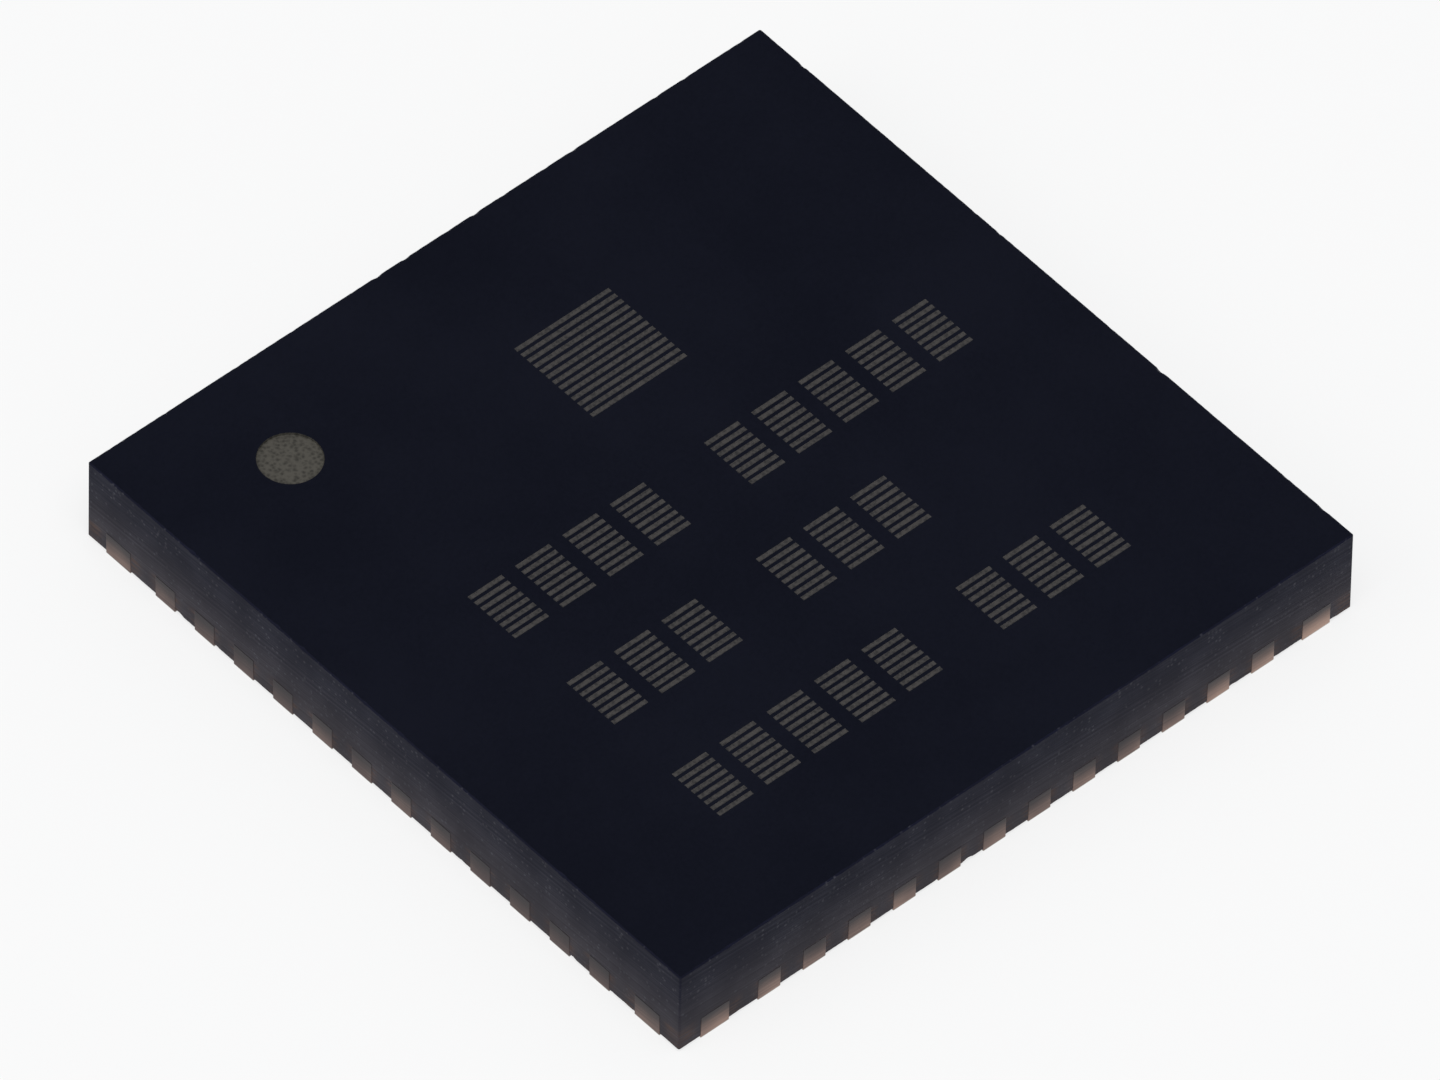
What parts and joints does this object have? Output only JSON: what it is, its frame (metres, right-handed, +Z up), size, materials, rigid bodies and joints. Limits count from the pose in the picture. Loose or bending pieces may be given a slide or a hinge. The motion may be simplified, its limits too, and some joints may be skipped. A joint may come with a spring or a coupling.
{
  "type": "microcontroller",
  "caption": "Square leadless microcontroller package: a sawn moulded block over a copper lead frame, with flush terminals on four sides and a die pad to solder below.",
  "frame": {"origin": "on the solder plane, under the middle of the square body", "axes": "+Z up from the solder plane to the marked top face, +X along the reading direction of the marking, so the terminal 1 mark is towards -X and +Y"},
  "size_m": [0.006, 0.006, 0.0008],
  "materials": {
    "mould_compound": "fine matt, sawn sides",
    "lead_frame": "copper, bare at the saw cut and matt tinned below",
    "die_adhesive": "cured silver paste",
    "silicon": "polished",
    "bond_wire": "bright drawn wire"
  },
  "bodies": {
    "root": {"mould_body": "mould_compound", "die_pad": "lead_frame", "die_attach": "die_adhesive", "die": "silicon", "bond_wires_left": "bond_wire", "bond_wires_front": "bond_wire", "bond_wires_right": "bond_wire", "bond_wires_back": "bond_wire", "terminal_01": "lead_frame", "terminal_02": "lead_frame", "terminal_03": "lead_frame", "terminal_04": "lead_frame", "terminal_05": "lead_frame", "terminal_06": "lead_frame", "terminal_07": "lead_frame", "terminal_08": "lead_frame", "terminal_09": "lead_frame", "terminal_10": "lead_frame", "terminal_11": "lead_frame", "terminal_12": "lead_frame", "terminal_13": "lead_frame", "terminal_14": "lead_frame", "terminal_15": "lead_frame", "terminal_16": "lead_frame", "terminal_17": "lead_frame", "terminal_18": "lead_frame", "terminal_19": "lead_frame", "terminal_20": "lead_frame", "terminal_21": "lead_frame", "terminal_22": "lead_frame", "terminal_23": "lead_frame", "terminal_24": "lead_frame", "terminal_25": "lead_frame", "terminal_26": "lead_frame", "terminal_27": "lead_frame", "terminal_28": "lead_frame", "terminal_29": "lead_frame", "terminal_30": "lead_frame", "terminal_31": "lead_frame", "terminal_32": "lead_frame", "terminal_33": "lead_frame", "terminal_34": "lead_frame", "terminal_35": "lead_frame", "terminal_36": "lead_frame", "terminal_37": "lead_frame", "terminal_38": "lead_frame", "terminal_39": "lead_frame", "terminal_40": "lead_frame", "terminal_41": "lead_frame", "terminal_42": "lead_frame", "terminal_43": "lead_frame", "terminal_44": "lead_frame", "terminal_45": "lead_frame", "terminal_46": "lead_frame", "terminal_47": "lead_frame", "terminal_48": "lead_frame"}
  },
  "joints": []
}
